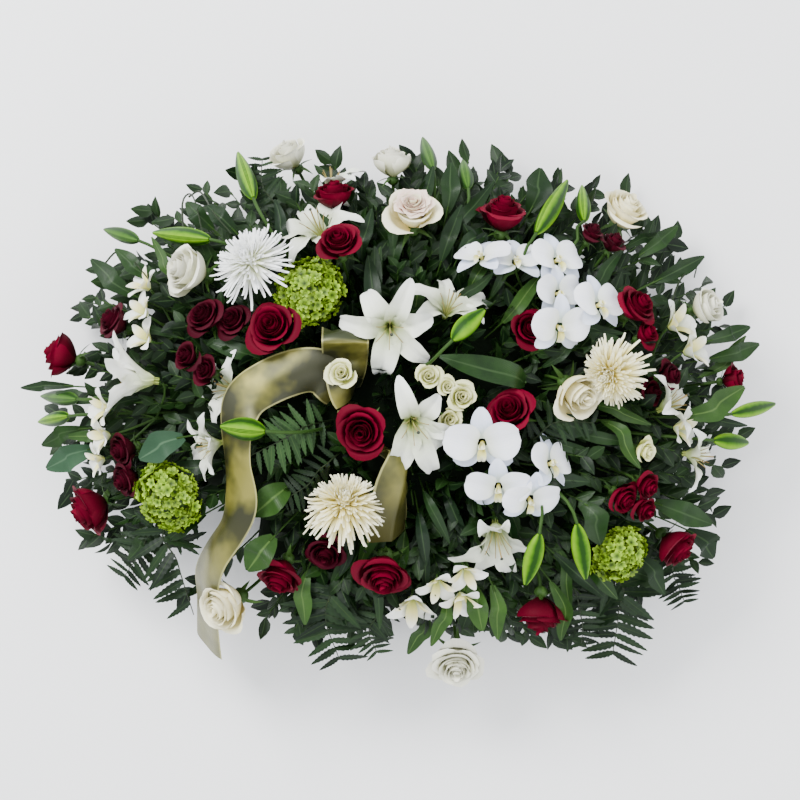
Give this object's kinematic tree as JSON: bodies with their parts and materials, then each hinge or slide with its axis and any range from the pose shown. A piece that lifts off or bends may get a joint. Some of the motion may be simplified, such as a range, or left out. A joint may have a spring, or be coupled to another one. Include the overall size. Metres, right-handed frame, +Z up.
{
  "type": "flower spray",
  "caption": "Oval spray of cut flowers lying on its back on a shallow foam tray: roses, lilies, orchids, spider chrysanthemums, ferns and a bare satin ribbon.",
  "frame": {"origin": "middle of the tray's flat underside, on the surface that the spray lies on", "axes": "+X along the long side, to the right as seen from above; +Y across it, towards the upper edge; +Z up, out of the flowers"},
  "size_m": [0.991, 0.7371, 0.3211],
  "materials": {
    "red_petals": "velvety",
    "white_petals": "soft petal",
    "cream_petals": "soft petal",
    "mum_petals": "soft petal",
    "viburnum_florets": "soft petal",
    "lily_petals": "soft petal",
    "orchid_petals": "soft petal",
    "fern_leaf": "matte leaf",
    "foliage": "semi-gloss leaf",
    "ribbon_satin": "satin",
    "foam": "matte",
    "tray_plastic": "satin"
  },
  "bodies": {
    "root": {"alstroemeria_1": "lily_petals", "alstroemeria_2": "lily_petals", "alstroemeria_3": "lily_petals", "alstroemeria_4": "lily_petals", "fern_frond_1": "fern_leaf", "fern_frond_2": "fern_leaf", "fern_frond_3": "fern_leaf", "fern_frond_4": "fern_leaf", "floral_foam": "foam", "greenery": "foliage", "lily_1": "lily_petals", "lily_2": "lily_petals", "lily_3": "lily_petals", "lily_4": "lily_petals", "lily_5": "lily_petals", "orchid_spray_1": "orchid_petals", "orchid_spray_2": "orchid_petals", "red_rose_1": "red_petals", "red_rose_10": "red_petals", "red_rose_11": "red_petals", "red_rose_12": "red_petals", "red_rose_13": "red_petals", "red_rose_14": "red_petals", "red_rose_15": "red_petals", "red_rose_16": "red_petals", "red_rose_17": "red_petals", "red_rose_18": "red_petals", "red_rose_19": "red_petals", "red_rose_2": "red_petals", "red_rose_20": "red_petals", "red_rose_21": "red_petals", "red_rose_22": "red_petals", "red_rose_23": "red_petals", "red_rose_3": "red_petals", "red_rose_4": "red_petals", "red_rose_5": "red_petals", "red_rose_6": "red_petals", "red_rose_7": "red_petals", "red_rose_8": "red_petals", "red_rose_9": "red_petals", "ribbon": "ribbon_satin", "spider_mum_1": "mum_petals", "spider_mum_2": "mum_petals", "spider_mum_3": "mum_petals", "spray_rose_1": "cream_petals", "spray_rose_2": "cream_petals", "spray_rose_3": "cream_petals", "tray": "tray_plastic", "viburnum_1": "viburnum_florets", "viburnum_2": "viburnum_florets", "viburnum_3": "viburnum_florets", "white_rose_1": "white_petals", "white_rose_2": "white_petals", "white_rose_3": "white_petals", "white_rose_4": "white_petals", "white_rose_5": "white_petals", "white_rose_6": "white_petals", "white_rose_7": "white_petals", "white_rose_8": "white_petals", "white_rose_9": "white_petals"}
  },
  "joints": []
}
